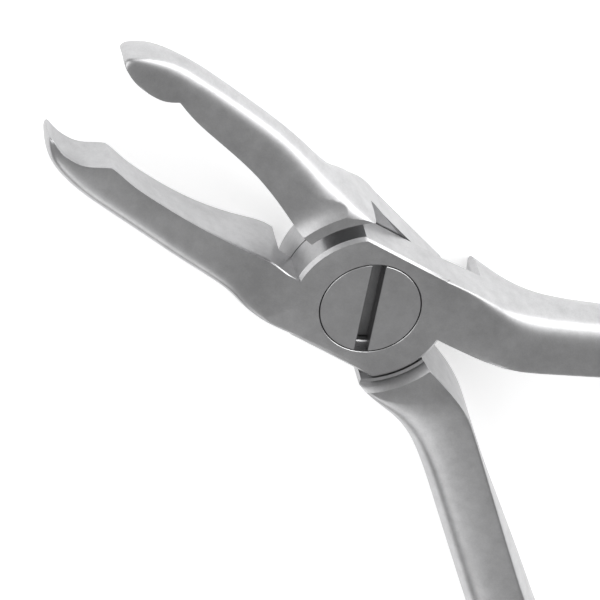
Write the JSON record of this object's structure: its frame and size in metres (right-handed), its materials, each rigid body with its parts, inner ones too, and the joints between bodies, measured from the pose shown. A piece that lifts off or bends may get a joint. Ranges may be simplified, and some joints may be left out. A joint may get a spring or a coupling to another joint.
{
  "type": "extraction forceps",
  "caption": "Dental extraction forceps: two crossed steel levers with cupped beaks and long bowed handles, turning on a slotted joint screw.",
  "frame": {"origin": "centre of the joint's back face, on the joint screw's axis", "axes": "+Z along the joint screw towards its head, +X towards the beaks along the line that halves their angle, +Y to the front lever's beak"},
  "size_m": [0.1706, 0.0814, 0.0085],
  "materials": {
    "satin_steel": "bead-blasted satin stainless steel",
    "screw_steel": "turned and ground stainless steel"
  },
  "bodies": {
    "back_lever": {"back_half": "satin_steel", "joint_screw": "screw_steel"},
    "front_lever": {"front_half": "satin_steel"}
  },
  "joints": [
    {"name": "lap_joint", "type": "hinge", "parent": "back_lever", "child": "front_lever", "pos_m": [0, 0, 0.00425], "axis": [0, 0, 1], "range_deg": [-15.4, 28]}
  ]
}
